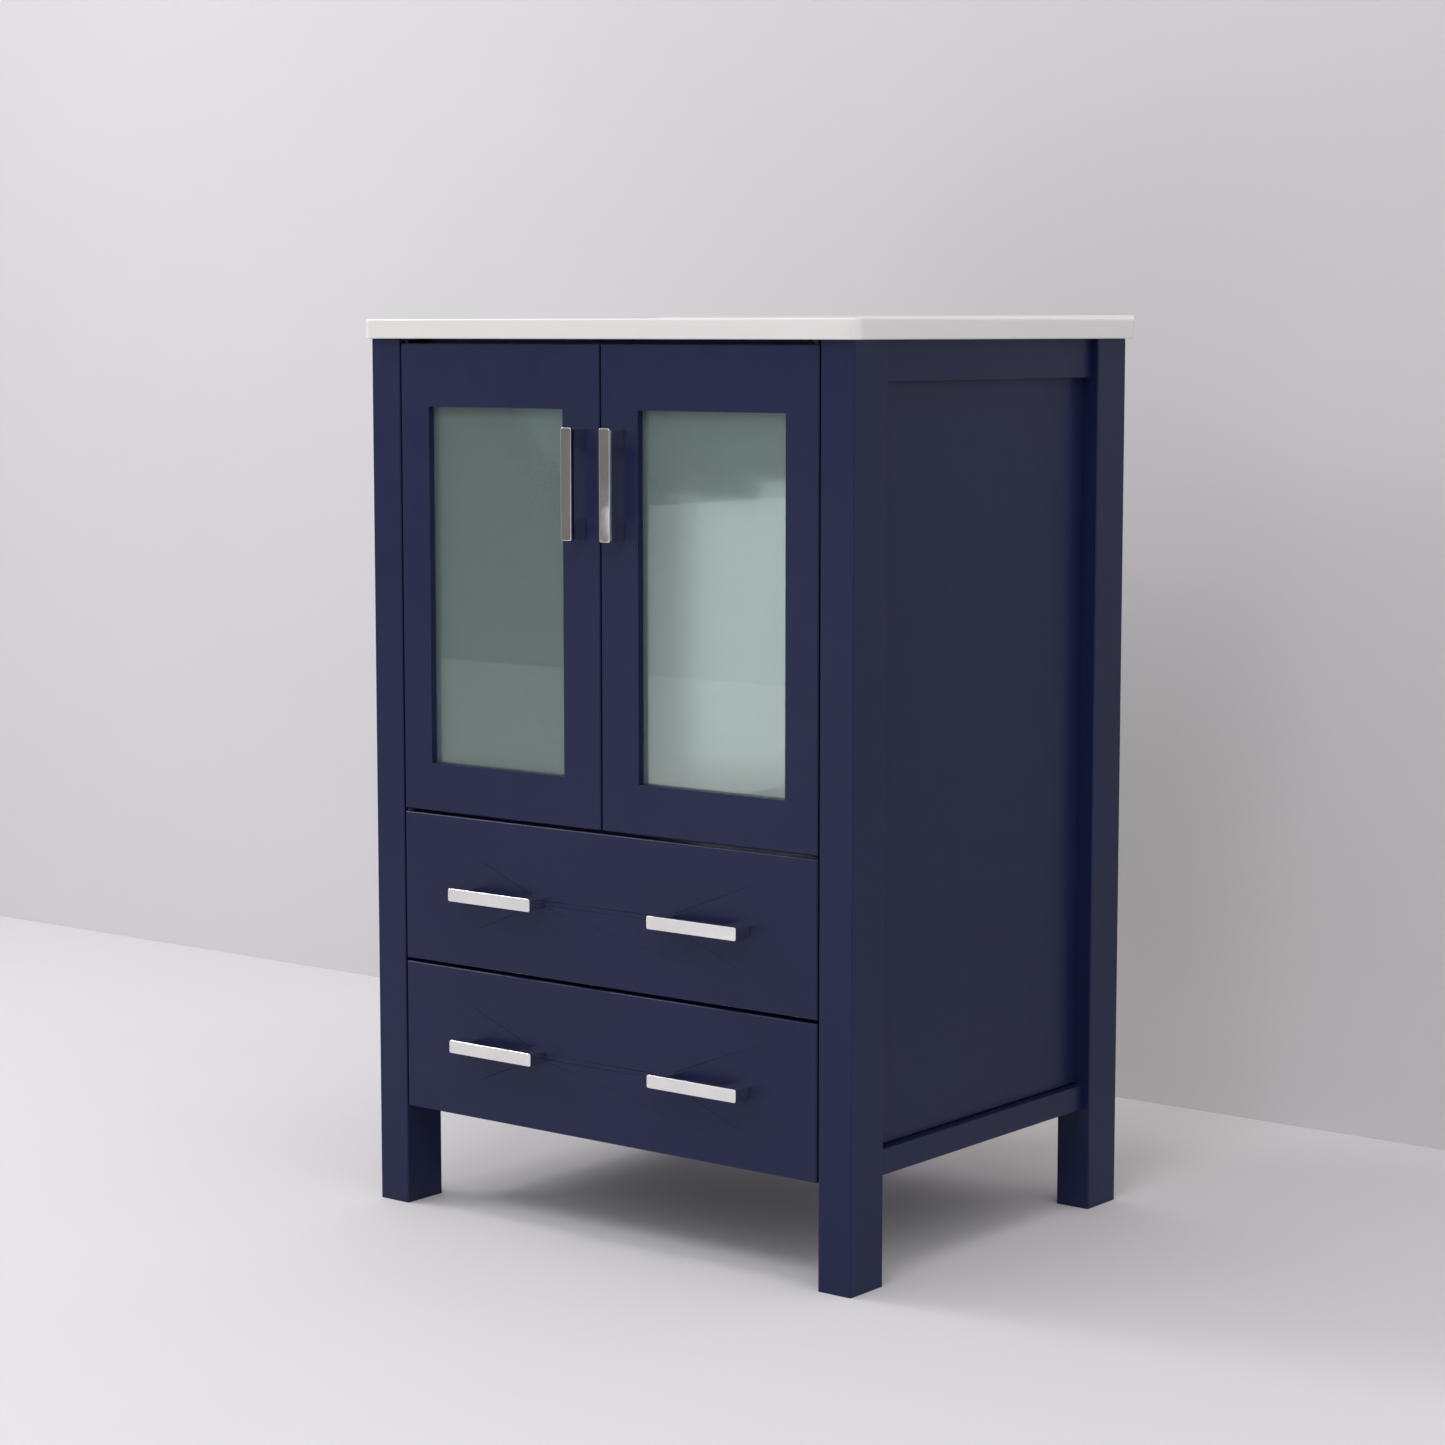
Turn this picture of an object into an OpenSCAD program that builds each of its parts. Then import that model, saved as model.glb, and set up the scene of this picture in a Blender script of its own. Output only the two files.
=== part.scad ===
// Bathroom vanity cabinet: a four-legged frame under a ceramic sink top, with two glazed doors over
// two drawers on ball slides. Z is up from the floor, X runs across the front and Y runs from the
// front to the wall. The origin is on the floor, under the middle of the whole object.

/* [Cabinet] */
// Width over the legs
cab_w = 600; // [590:1:700]
// Depth over the legs
cab_d = 461; // [455:1:490]
// Height up to the underside of the sink top
cab_h = 882; // [870:1:900]
// Width of a leg across the front
leg_w = 38; // [36:1:40]
// Depth of a leg from front to back
leg_d = 51; // [46:1:55]
// Clear height below the lower drawer front
base_h = 102.6; // [95:0.1:110]

/* [Sides] */
// Height of the upper side rails
side_top_h = 38; // [30:1:45]
// Height of the lower side rails
side_low_h = 24.7; // [22:0.1:30]
// How far the side rails stand back from the outside of the legs
side_rail_inset = 8; // [5:1:10]
// How far the side panels stand back from the outside of the legs
side_panel_inset = 17; // [14:1:19]
// Thickness of the side panels
side_panel_t = 15; // [12:1:15]

/* [Fronts] */
// Thickness of the doors and drawer fronts
front_t = 19; // [18:0.5:19]
// Height of a drawer front
drawer_h = 150.5; // [148:0.5:155]
// Gap between one front and the next above it
front_gap = 3.3; // [3.2:0.1:4]
// Gap between a front and the leg beside it
side_gap = 2; // [2:0.1:3]
// Gap between the two doors
meet_gap = 2; // [2:0.1:4]
// Gap between the doors and the sink top
top_gap = 4.5; // [4:0.1:6]
// Chamfer along the front edges
edge_cut = 1; // [1:0.1:1.2]

/* [Doors] */
// Width of the stile on the hinge side
hinge_stile = 37.5; // [34:0.5:42]
// Width of the stile where the doors meet
meet_stile = 46; // [44:0.5:50]
// Height of the door's upper rail
door_top_rail = 62.3; // [58:0.1:66]
// Height of the door's lower rail
door_low_rail = 48.5; // [44:0.5:56]
// How far the glass lies behind the front face
glass_inset = 7.2; // [6:0.1:8]
// Thickness of the glass
glass_t = 4; // [3:0.5:4]
// Height of a door handle's middle above the floor
door_pull_z = 744.5; // [700:0.5:750]

/* [Handles] */
// Overall length of a handle
pull_l = 108; // [106:1:120]
// Width of the handle's square section
pull_w = 13; // [11:1:15]
// How far a handle stands out from the front
pull_out = 22.4; // [20:0.1:30]
// Thickness of the handle's bar
pull_t = 5.5; // [4:0.5:7]
// Length of each foot of a handle
pull_foot = 20; // [18:1:24]
// Distance between the two screws of a handle
pull_pitch = 96; // [90:1:96]
// Distance of a drawer handle's middle from the middle of the cabinet
drawer_pull_x = 128; // [110:1:140]

/* [Sink top] */
// Width of the sink top
top_w = 615; // [605:1:720]
// Depth of the sink top
top_d = 480; // [475:1:500]
// Thickness of the slab
top_t = 19.5; // [16:0.5:24]
// How far the slab stands in front of the legs
top_lip = 7; // [4:1:12]
// Height of the ledge along the back edge
ledge_h = 3.8; // [2:0.1:10]
// Thickness of the ledge along the back edge
ledge_t = 8; // [5:1:12]
// Width of the basin at the rim
basin_w = 460; // [400:5:470]
// Length of the basin from front to back at the rim
basin_d = 300; // [260:5:300]
// Depth of the basin
basin_depth = 150; // [130:1:152]
// Diameter of the tap hole
tap_d = 35; // [30:1:38]
// Diameter of the waste outlet
waste_d = 45; // [40:1:48]

/* [Drawers] */
// Height of a drawer box
box_h = 100; // [90:1:100]
// Length of a drawer box from front to back
box_d = 400; // [380:5:400]
// Thickness of the drawer box's sides, front and back
box_t = 12; // [10:1:14]
// Thickness of the drawer bottom
box_floor_t = 6; // [4:1:6]

/* [Wall fixing] */
// Distance between the two wall-fixing holes
wall_pitch = 400; // [300:10:440]
// Diameter of a wall-fixing hole
wall_hole_d = 7; // [5:0.5:10]

/* [Hidden] */

$fn = 48;
navy = [0.18, 0.20, 0.31];
china = [0.87, 0.86, 0.85];
frosted = [0.52, 0.58, 0.56, 0.6];
polished = [0.80, 0.80, 0.82];
steel = [0.62, 0.63, 0.65];
dark_steel = [0.18, 0.18, 0.19];
birch = [0.82, 0.70, 0.52];
nylon = [0.25, 0.25, 0.26];

// A cutter runs past the face it opens by this much
past = 1;

// The front face of the legs, doors and drawers, placed so that the whole object is centred on Y
front_y = -(top_d - top_lip - pull_out) / 2;
half_w = cab_w / 2;
inner_x = half_w - leg_w;
side_len = cab_d - 2 * leg_d;
panel_x = half_w - side_panel_inset - side_panel_t;

// Rails and panels inside the frame
rail_t = 18;
rail_y = front_t + 2;
front_top_h = 40;
front_mid_h = 25;
front_low_h = 18;
back_top_h = 70;
back_mid_h = 38;
floor_t = 15;
bottom_t = 12;
back_t = 5;
back_rail_y = cab_d - rail_t;
low_z = base_h + 0.7;
shadow_gap = 2;
shadow_depth = 6;
block_leg = 30;
block_h = 25;
block_drop = 7;

// Doors and drawer fronts
front_half = inner_x - side_gap;
drawer_z = [base_h, base_h + drawer_h + front_gap];
door_z = drawer_z[1] + drawer_h + front_gap;
door_h = cab_h - top_gap - door_z;
door_w = front_half - meet_gap / 2;
pane_x = meet_gap / 2 + meet_stile;
pane_w = door_w - meet_stile - hinge_stile;
pane_z = door_z + door_low_rail;
pane_h = door_h - door_low_rail - door_top_rail;
rabbet = 8;
glass_play = 0.5;
bead_w = 7.5;
door_pull_x = meet_gap / 2 + meet_stile / 2;

// Pivot hinges: a pin on a fixed plate turns in a leaf let into the door's edge
pin_in = 5;
pin_r = 2.5;
pin_fit = 0.05;
pin_l = 12;
pin_bore_r = 3;
plate_t = 1.5;
plate_nose = 4.5;
plate_tail = 16;
leaf_l = 38;
leaf_margin = 1.2;
leaf_back = 13;
pin_x = front_half - pin_in;
mid_z = door_z - (front_gap - plate_t) / 2;

// Magnetic catches under the front top rail, and the strikes on the doors
catch_x = 30;
catch_size = [34, 17, 12];
catch_air = 0.5;
strike_size = [30, 1.2, 10];

// Handle screws
screw_r = 2;
screw_hole_r = 2.3;
thread_r = 2.05;
screw_bite = 11;
thread_l = 13;
head_r = 4;
head_t = 2.4;

// Drawer slides: three nested channels on each side
slide_w = 12.7;
slide_l = 400;
slide_y = front_t + 3;
slide_sheet = 1.2;
slide_h = [45, 38, 31];
slide_leaf = [10, 9.2, 8.3];
slide_step = 1;
moving_l = 390;
box_half = inner_x - slide_w;
box_lift = 24;
groove_z = 8;
groove_in = 6;

// Basin: the bowl's lower corners are balls, and the overflow duct follows the front wall
top_corner = 11;
basin_wall = 8;
basin_corner = 60;
basin_y = 202;
bowl_run = 95;
bowl_r = 60;
bowl_z = cab_h + top_t - basin_depth + bowl_r;
tap_y = 410;
waste_boss_r = 34;
waste_boss_h = 28;
waste_seat_r = 33;
waste_seat = 3;
duct_w = 18;
duct_t = 9;
duct_skin = 6;
duct_rise = 80;
duct_bends = 3;
overflow_r = 8;
duct_r = bowl_r + duct_skin + duct_t / 2;
duct_y = basin_y - basin_d / 2 + bowl_run;
wall_run = sqrt(bowl_run * bowl_run + (basin_depth - bowl_r) * (basin_depth - bowl_r));
wall_tilt = atan2(bowl_run, basin_depth - bowl_r) - asin(bowl_r / wall_run);
duct_bend = [for (k = [0 : duct_bends])
    let (a = 180 + wall_tilt + k * (90 - wall_tilt) / duct_bends)
    [duct_y + duct_r * cos(a), bowl_z + duct_r * sin(a)]];
duct_top = duct_bend[0] + duct_rise * [-sin(wall_tilt), cos(wall_tilt)];
duct_path = concat([duct_top], duct_bend, [[basin_y - waste_d / 4, bowl_z - duct_r]]);

// Moves a piece to x across, y behind the front face and z above the floor
module at(x, y, z) translate([x, front_y + y, z]) children();

// Draws a right-hand piece as drawn, and mirrors it for the left-hand side
module sided(side) mirror([side < 0 ? 1 : 0, 0, 0]) children();

// A plain board from its low corner
module board(x, y, z, size) at(x, y, z) cube(size);

// A front: a board with its four front edges chamfered
module chamfered_front(x, z, w, h) {
    c = edge_cut;
    at(x, 0, z) intersection() {
        linear_extrude(h)
            polygon([[0, c], [c, 0], [w - c, 0], [w, c], [w, front_t], [0, front_t]]);
        rotate([90, 0, 90]) linear_extrude(w)
            polygon([[c, 0], [front_t, 0], [front_t, h], [c, h], [0, h - c], [0, c]]);
    }
}

module round_rect(w, d, r) {
    square([w - 2 * r, d], center = true);
    square([w, d - 2 * r], center = true);
    for (x = [-1, 1], y = [-1, 1])
        translate([x * (w / 2 - r), y * (d / 2 - r)]) circle(r);
}

// ---- Frame ----

module leg(side, y) {
    c = edge_cut;
    w = leg_w;
    d = leg_d;
    color(navy) sided(side) at(inner_x, y, 0) linear_extrude(cab_h)
        polygon([[c, 0], [w - c, 0], [w, c], [w, d - c], [w - c, d], [c, d], [0, d - c], [0, c]]);
}
module leg_front_left() leg(-1, 0);
module leg_front_right() leg(1, 0);
module leg_rear_left() leg(-1, cab_d - leg_d);
module leg_rear_right() leg(1, cab_d - leg_d);

// The panel's outer face stops short of the lower rail, which leaves a shadow line
module side_panel(side) {
    z = low_z + side_low_h;
    color(navy) sided(side) difference() {
        board(panel_x, leg_d, z, [side_panel_t, side_len, cab_h - side_top_h - z]);
        board(panel_x + side_panel_t - shadow_depth, leg_d - past, z - past,
            [shadow_depth + past, side_len + 2 * past, shadow_gap + past]);
    }
}
module side_panel_left() side_panel(-1);
module side_panel_right() side_panel(1);

module side_rail(side, z, h)
    color(navy) sided(side)
        board(inner_x, leg_d, z, [leg_w - side_rail_inset, side_len, h]);
module side_top_rail_left() side_rail(-1, cab_h - side_top_h, side_top_h);
module side_top_rail_right() side_rail(1, cab_h - side_top_h, side_top_h);
module side_bottom_rail_left() side_rail(-1, low_z, side_low_h);
module side_bottom_rail_right() side_rail(1, low_z, side_low_h);

module cross_rail(y, z, h) board(-inner_x, y, z, [2 * inner_x, rail_t, h]);

// The part of a pivot plate that lies in the rail behind the door
module plate_seats(z)
    for (side = [-1, 1]) sided(side)
        board(pin_x - plate_tail + plate_nose, rail_y, z, [plate_tail, rail_t, plate_t]);

module front_top_rail()
    color(navy) difference() {
        cross_rail(rail_y, cab_h - front_top_h, front_top_h);
        plate_seats(cab_h - plate_t);
    }
module front_middle_rail()
    color(navy) difference() {
        cross_rail(rail_y, mid_z - front_mid_h, front_mid_h);
        plate_seats(mid_z - plate_t);
    }
module front_bottom_rail() color(navy) cross_rail(rail_y, low_z, front_low_h);

module back_top_rail()
    color(navy) difference() {
        cross_rail(back_rail_y, cab_h - back_top_h, back_top_h);
        for (x = [-1, 1])
            at(x * wall_pitch / 2, cab_d + past, cab_h - back_top_h / 2)
                rotate([90, 0, 0]) cylinder(d = wall_hole_d, h = rail_t + 2 * past);
    }
module back_middle_rail() color(navy) cross_rail(back_rail_y, mid_z - back_mid_h, back_mid_h);

module back_panel() {
    z = low_z + bottom_t;
    color(birch) board(-inner_x, back_rail_y - back_t, z, [2 * inner_x, back_t, mid_z - floor_t - z]);
}

module compartment_floor() {
    y = rail_y + rail_t;
    color(birch) union() {
        board(-inner_x, y, mid_z - floor_t, [2 * inner_x, back_rail_y - y, floor_t]);
        board(-panel_x, leg_d, mid_z - floor_t, [2 * panel_x, side_len, floor_t]);
    }
}

module bottom_panel() {
    y = rail_y + rail_t;
    color(navy) board(-inner_x, y, low_z, [2 * inner_x, back_rail_y - y, bottom_t]);
}

// Glued triangles that stiffen the four upper corners
module corner_blocks() {
    color(birch) for (side = [-1, 1], back = [false, true])
        sided(side) at(inner_x, back ? back_rail_y : rail_y + rail_t, cab_h - block_drop - block_h)
            linear_extrude(block_h)
                polygon([[0, 0], [-block_leg, 0], [0, back ? -block_leg : block_leg]]);
}

// ---- Sink top ----

// The bowl between the rim at height z and its four lower balls, made larger by grow
module bowl(grow, z)
    hull() {
        at(0, basin_y, z) linear_extrude(past)
            round_rect(basin_w + 2 * grow, basin_d + 2 * grow, basin_corner + grow, $fn = 32);
        for (x = [-1, 1], y = [-1, 1])
            at(x * (basin_w / 2 - bowl_run), basin_y + y * (basin_d / 2 - bowl_run), bowl_z)
                sphere(bowl_r + grow, $fn = 32);
    }

// Helpers for the duct's side view: a path moved sideways by d, and one run on by d at both ends
function unit(v) = v / norm(v);
function turned(v) = [-v[1], v[0]];
function beside(path, d) = [for (i = [0 : len(path) - 1])
    let (n = len(path), ahead = unit(path[min(i + 1, n - 1)] - path[min(i, n - 2)]),
        behind = unit(path[max(i, 1)] - path[max(i - 1, 0)]), side = turned(unit(ahead + behind)))
    path[i] + side * d / (side * turned(ahead))];
function run_on(path, d) = [for (i = [0 : len(path) - 1])
    i == 0 ? path[i] + d * unit(path[0] - path[1])
    : i == len(path) - 1 ? path[i] + d * unit(path[i] - path[i - 1]) : path[i]];
function reversed(list) = [for (i = [len(list) - 1 : -1 : 0]) list[i]];

// The duct along duct_path, w wide across the basin
module duct(w, t) {
    path = run_on(duct_path, t / 2);
    at(-w / 2, 0, 0) rotate([90, 0, 90]) linear_extrude(w)
        polygon(concat(beside(path, t / 2), reversed(beside(path, -t / 2))));
}

module sink_top() {
    floor_z = bowl_z - bowl_r;
    slab_y = top_d / 2 - top_lip;
    color(china) difference() {
        union() {
            at(0, slab_y, cab_h) linear_extrude(top_t) round_rect(top_w, top_d, top_corner);
            at(0, slab_y, cab_h) intersection() {
                linear_extrude(top_t + ledge_h) round_rect(top_w, top_d, top_corner);
                translate([-top_w / 2, top_d / 2 - ledge_t, 0])
                    cube([top_w, ledge_t, top_t + ledge_h]);
            }
            bowl(basin_wall, cab_h);
            at(0, basin_y, floor_z - waste_boss_h) cylinder(r = waste_boss_r, h = waste_boss_h);
            duct(duct_w + 2 * duct_skin, duct_t + 2 * duct_skin);
        }
        bowl(0, cab_h + top_t);
        at(0, basin_y, floor_z - waste_seat) cylinder(r = waste_seat_r, h = waste_seat + past);
        at(0, basin_y, floor_z - waste_boss_h - past) cylinder(d = waste_d, h = waste_boss_h + past);
        at(0, tap_y, cab_h - past) cylinder(d = tap_d, h = top_t + 2 * past);
        duct(duct_w, duct_t);
        at(0, duct_top[0], duct_top[1]) rotate([wall_tilt - 90, 0, 0])
            cylinder(r = overflow_r, h = duct_t + 2 * duct_skin);
    }
}

// ---- Hinges and catches ----

// A fixed plate with its riveted pin; dir is the way the pin points, and z is the plate's underside
module pivot_plate(z, dir) {
    at(pin_x, pin_in, z) linear_extrude(plate_t) {
        circle(plate_nose);
        translate([-plate_nose, 0]) square([2 * plate_nose, rail_y + rail_t - pin_in]);
        translate([plate_nose - plate_tail, rail_y - pin_in]) square([plate_tail, rail_t]);
    }
    reach = pin_l + plate_t + (dir < 0 ? top_gap - plate_t : (front_gap - plate_t) / 2);
    at(pin_x, pin_in, dir < 0 ? z + plate_t - reach : z) cylinder(r = pin_r, h = reach);
}
module pivot_plates()
    color(dark_steel) for (side = [-1, 1]) sided(side) {
        pivot_plate(cab_h - plate_t, -1);
        pivot_plate(mid_z - plate_t, 1);
    }

module leaf(z)
    at(0, 0, z) linear_extrude(plate_t) difference() {
        translate([front_half - leaf_margin - leaf_l, leaf_margin])
            square([leaf_l, leaf_back - leaf_margin]);
        translate([pin_x, pin_in]) circle(pin_r + pin_fit);
    }
module pivot_leaves(side)
    color(dark_steel) sided(side) {
        leaf(door_z);
        leaf(door_z + door_h - plate_t);
    }
module left_door_pivot_leaves() pivot_leaves(-1);
module right_door_pivot_leaves() pivot_leaves(1);

module magnetic_catches()
    color(nylon) for (side = [-1, 1])
        sided(side) board(catch_x - catch_size[0] / 2, front_t + catch_air,
            cab_h - front_top_h - catch_size[2], catch_size);

module strike_plate()
    board(catch_x - strike_size[0] / 2, front_t - strike_size[1],
        cab_h - front_top_h - (catch_size[2] + strike_size[2]) / 2, strike_size);
module left_door_strike() color(steel) sided(-1) strike_plate();
module right_door_strike() color(steel) sided(1) strike_plate();

// ---- Handles ----

// A handle lying along X, centred on x and z, with its feet on the front face
module pull(x, z) {
    at(x - pull_l / 2, -pull_out, z - pull_w / 2) difference() {
        cube([pull_l, pull_out, pull_w]);
        translate([pull_foot, pull_t, -past])
            cube([pull_l - 2 * pull_foot, pull_out, pull_w + 2 * past]);
        for (s = [-1, 1])
            translate([(pull_l + s * pull_pitch) / 2, pull_out + past, pull_w / 2])
                rotate([90, 0, 0]) cylinder(r = thread_r, h = thread_l + past);
    }
}

// The two screws of a handle, with their heads seated at depth y behind the front face
module pull_screws(x, z, y)
    for (s = [-1, 1]) at(x + s * pull_pitch / 2, 0, z) rotate([-90, 0, 0]) {
        translate([0, 0, -screw_bite]) cylinder(r = screw_r, h = y + screw_bite);
        translate([0, 0, y]) cylinder(r = head_r, h = head_t);
    }

// The holes for those screws, right through a board up to depth y
module pull_holes(x, z, y)
    for (s = [-1, 1]) at(x + s * pull_pitch / 2, -past, z)
        rotate([-90, 0, 0]) cylinder(r = screw_hole_r, h = y + 2 * past);

// Turns what is drawn along X, about the middle of the right-hand door handle, to stand along Z
module upright() translate([door_pull_x, 0, door_pull_z]) rotate([0, -90, 0]) children();

module door_handle(side) color(polished) sided(side) upright() pull(0, 0);
module left_door_handle() door_handle(-1);
module right_door_handle() door_handle(1);

module door_handle_screws(side) color(steel) sided(side) upright() pull_screws(0, 0, front_t);
module left_door_handle_screws() door_handle_screws(-1);
module right_door_handle_screws() door_handle_screws(1);

// ---- Doors ----

module door_frame(side)
    color(navy) sided(side) difference() {
        chamfered_front(meet_gap / 2, door_z, door_w, door_h);
        board(pane_x, -past, pane_z, [pane_w, front_t + 2 * past, pane_h]);
        board(pane_x - rabbet, glass_inset, pane_z - rabbet,
            [pane_w + 2 * rabbet, front_t, pane_h + 2 * rabbet]);
        for (z = [door_z - past, door_z + door_h - plate_t])
            board(front_half - leaf_margin - leaf_l, leaf_margin, z,
                [leaf_l, leaf_back - leaf_margin, plate_t + past]);
        for (z = [door_z - past, door_z + door_h - pin_l - past])
            at(pin_x, pin_in, z) cylinder(r = pin_bore_r, h = pin_l + 2 * past);
        upright() pull_holes(0, 0, front_t);
        strike_plate();
    }
module left_door_frame() door_frame(-1);
module right_door_frame() door_frame(1);

module door_glass(side) {
    side_cover = rabbet - glass_play;
    color(frosted) sided(side) board(pane_x - side_cover, glass_inset, pane_z - side_cover,
        [pane_w + 2 * side_cover, glass_t, pane_h + 2 * side_cover]);
}
module left_door_glass() door_glass(-1);
module right_door_glass() door_glass(1);

// Four strips that hold the glass from behind
module door_beads(side) {
    w = pane_w + 2 * rabbet;
    h = pane_h + 2 * rabbet;
    y = glass_inset + glass_t;
    color(navy) sided(side) {
        for (x = [0, w - bead_w])
            board(pane_x - rabbet + x, y, pane_z - rabbet, [bead_w, front_t - y, h]);
        for (z = [0, h - bead_w])
            board(pane_x - rabbet + bead_w, y, pane_z - rabbet + z,
                [w - 2 * bead_w, front_t - y, bead_w]);
    }
}
module left_door_beads() door_beads(-1);
module right_door_beads() door_beads(1);

// ---- Drawers ----
// Drawer 0 is the lower one and drawer 1 the upper one.

function pull_z(i) = drawer_z[i] + drawer_h / 2;
function box_z(i) = drawer_z[i] + box_lift;

module drawer_front(i)
    color(navy) difference() {
        chamfered_front(-front_half, drawer_z[i], 2 * front_half, drawer_h);
        for (side = [-1, 1]) pull_holes(side * drawer_pull_x, pull_z(i), front_t);
    }
module top_drawer_front() drawer_front(1);
module bottom_drawer_front() drawer_front(0);

// The bottom board, which the grooves in the other four boards are cut to
module drawer_bottom(i)
    color(birch) board(-box_half + box_t - groove_in, front_t + box_t - groove_in,
        box_z(i) + groove_z, [2 * (box_half - box_t + groove_in), box_d - 2 * (box_t - groove_in),
        box_floor_t]);
module top_drawer_bottom() drawer_bottom(1);
module bottom_drawer_bottom() drawer_bottom(0);

module drawer_side(i, side)
    color(birch) difference() {
        sided(side) board(box_half - box_t, front_t, box_z(i), [box_t, box_d, box_h]);
        drawer_bottom(i);
    }
module top_drawer_side_left() drawer_side(1, -1);
module top_drawer_side_right() drawer_side(1, 1);
module bottom_drawer_side_left() drawer_side(0, -1);
module bottom_drawer_side_right() drawer_side(0, 1);

module drawer_end(i, y)
    color(birch) difference() {
        board(-box_half + box_t, y, box_z(i), [2 * (box_half - box_t), box_t, box_h]);
        drawer_bottom(i);
    }
module box_front(i)
    difference() {
        drawer_end(i, front_t);
        for (side = [-1, 1]) pull_holes(side * drawer_pull_x, pull_z(i), front_t + box_t);
    }
module top_drawer_box_front() box_front(1);
module bottom_drawer_box_front() box_front(0);
module top_drawer_back() drawer_end(1, front_t + box_d - box_t);
module bottom_drawer_back() drawer_end(0, front_t + box_d - box_t);

module drawer_handle(i, side) color(polished) pull(side * drawer_pull_x, pull_z(i));
module top_drawer_handle_left() drawer_handle(1, -1);
module top_drawer_handle_right() drawer_handle(1, 1);
module bottom_drawer_handle_left() drawer_handle(0, -1);
module bottom_drawer_handle_right() drawer_handle(0, 1);

module drawer_screws(i)
    color(steel) for (side = [-1, 1])
        pull_screws(side * drawer_pull_x, pull_z(i), front_t + box_t);
module top_drawer_screws() drawer_screws(1);
module bottom_drawer_screws() drawer_screws(0);

// ---- Slides ----
// Channel 0 is fixed to the legs, channel 1 runs in it, and channel 2 is fixed to the drawer.

module slide_pair(i, n) {
    h = slide_h[n];
    w = slide_leaf[n];
    x = n == 2 ? box_half : inner_x - n * (slide_sheet + slide_step) - w;
    hollow_x = n == 2 ? slide_sheet : -past;
    l = n == 0 ? slide_l : moving_l;
    color(steel) for (side = [-1, 1]) sided(side)
        at(x, slide_y, box_z(i) + (box_h - h) / 2) difference() {
            cube([w, l, h]);
            translate([hollow_x, -past, slide_sheet])
                cube([w - slide_sheet + past, l + 2 * past, h - 2 * slide_sheet]);
        }
}
module top_slide_outers() slide_pair(1, 0);
module bottom_slide_outers() slide_pair(0, 0);
module top_slide_middles() slide_pair(1, 1);
module bottom_slide_middles() slide_pair(0, 1);
module top_slide_inners() slide_pair(1, 2);
module bottom_slide_inners() slide_pair(0, 2);

leg_front_left();
leg_front_right();
leg_rear_left();
leg_rear_right();
side_panel_left();
side_panel_right();
side_top_rail_left();
side_top_rail_right();
side_bottom_rail_left();
side_bottom_rail_right();
front_top_rail();
front_middle_rail();
front_bottom_rail();
back_top_rail();
back_middle_rail();
back_panel();
compartment_floor();
bottom_panel();
corner_blocks();
sink_top();
pivot_plates();
magnetic_catches();
top_slide_outers();
bottom_slide_outers();
left_door_frame();
left_door_glass();
left_door_beads();
left_door_handle();
left_door_handle_screws();
left_door_pivot_leaves();
left_door_strike();
right_door_frame();
right_door_glass();
right_door_beads();
right_door_handle();
right_door_handle_screws();
right_door_pivot_leaves();
right_door_strike();
top_drawer_front();
top_drawer_side_left();
top_drawer_side_right();
top_drawer_box_front();
top_drawer_back();
top_drawer_bottom();
top_drawer_handle_left();
top_drawer_handle_right();
top_drawer_screws();
top_slide_inners();
bottom_drawer_front();
bottom_drawer_side_left();
bottom_drawer_side_right();
bottom_drawer_box_front();
bottom_drawer_back();
bottom_drawer_bottom();
bottom_drawer_handle_left();
bottom_drawer_handle_right();
bottom_drawer_screws();
bottom_slide_inners();
top_slide_middles();
bottom_slide_middles();
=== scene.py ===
"""Bathroom vanity cabinet: the looks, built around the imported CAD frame.

Metres, +Z up, the front towards -Y, the origin on the floor under the middle of the object.
"""
import math

import bmesh
import bpy
from mathutils import Matrix, Vector


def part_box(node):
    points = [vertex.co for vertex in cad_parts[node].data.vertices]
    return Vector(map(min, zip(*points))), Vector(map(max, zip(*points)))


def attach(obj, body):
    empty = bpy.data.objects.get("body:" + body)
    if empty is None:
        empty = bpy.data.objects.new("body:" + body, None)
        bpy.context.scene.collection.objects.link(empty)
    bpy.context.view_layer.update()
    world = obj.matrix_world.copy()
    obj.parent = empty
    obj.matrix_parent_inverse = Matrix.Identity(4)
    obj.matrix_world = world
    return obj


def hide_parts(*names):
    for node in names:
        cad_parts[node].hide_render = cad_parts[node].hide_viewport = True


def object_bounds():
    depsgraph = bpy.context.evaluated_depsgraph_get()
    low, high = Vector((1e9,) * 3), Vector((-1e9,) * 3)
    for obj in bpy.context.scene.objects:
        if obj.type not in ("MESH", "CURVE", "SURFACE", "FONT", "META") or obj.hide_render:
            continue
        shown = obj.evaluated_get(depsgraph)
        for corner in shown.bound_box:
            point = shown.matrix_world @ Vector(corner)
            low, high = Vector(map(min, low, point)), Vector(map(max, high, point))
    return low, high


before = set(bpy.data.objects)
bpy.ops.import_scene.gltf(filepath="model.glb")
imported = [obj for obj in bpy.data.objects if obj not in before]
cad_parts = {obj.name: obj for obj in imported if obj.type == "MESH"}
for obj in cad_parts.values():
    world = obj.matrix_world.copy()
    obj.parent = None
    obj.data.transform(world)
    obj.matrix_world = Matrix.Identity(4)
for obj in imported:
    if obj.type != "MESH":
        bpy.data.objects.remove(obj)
cad_low, cad_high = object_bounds()

MM = 0.001
# The smallest distance that counts, and how near two places are that touch
HAIR = 0.01 * MM
TOUCHING = 0.001 * MM
# How far a cutter runs past what it cuts
PAST = 10 * MM
CABINET = "cabinet"


def add_object(name, data):
    """A new object in the scene."""
    made = bpy.data.objects.new(name, data)
    bpy.context.scene.collection.objects.link(made)
    return made


# ---- Camera ----

CAMERA_PLACE = (2.1064, -2.7057, 0.8914)
CAMERA_TURN = (83.405, 0.0, 38.278)
CAMERA_LENS = 84.742


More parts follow.
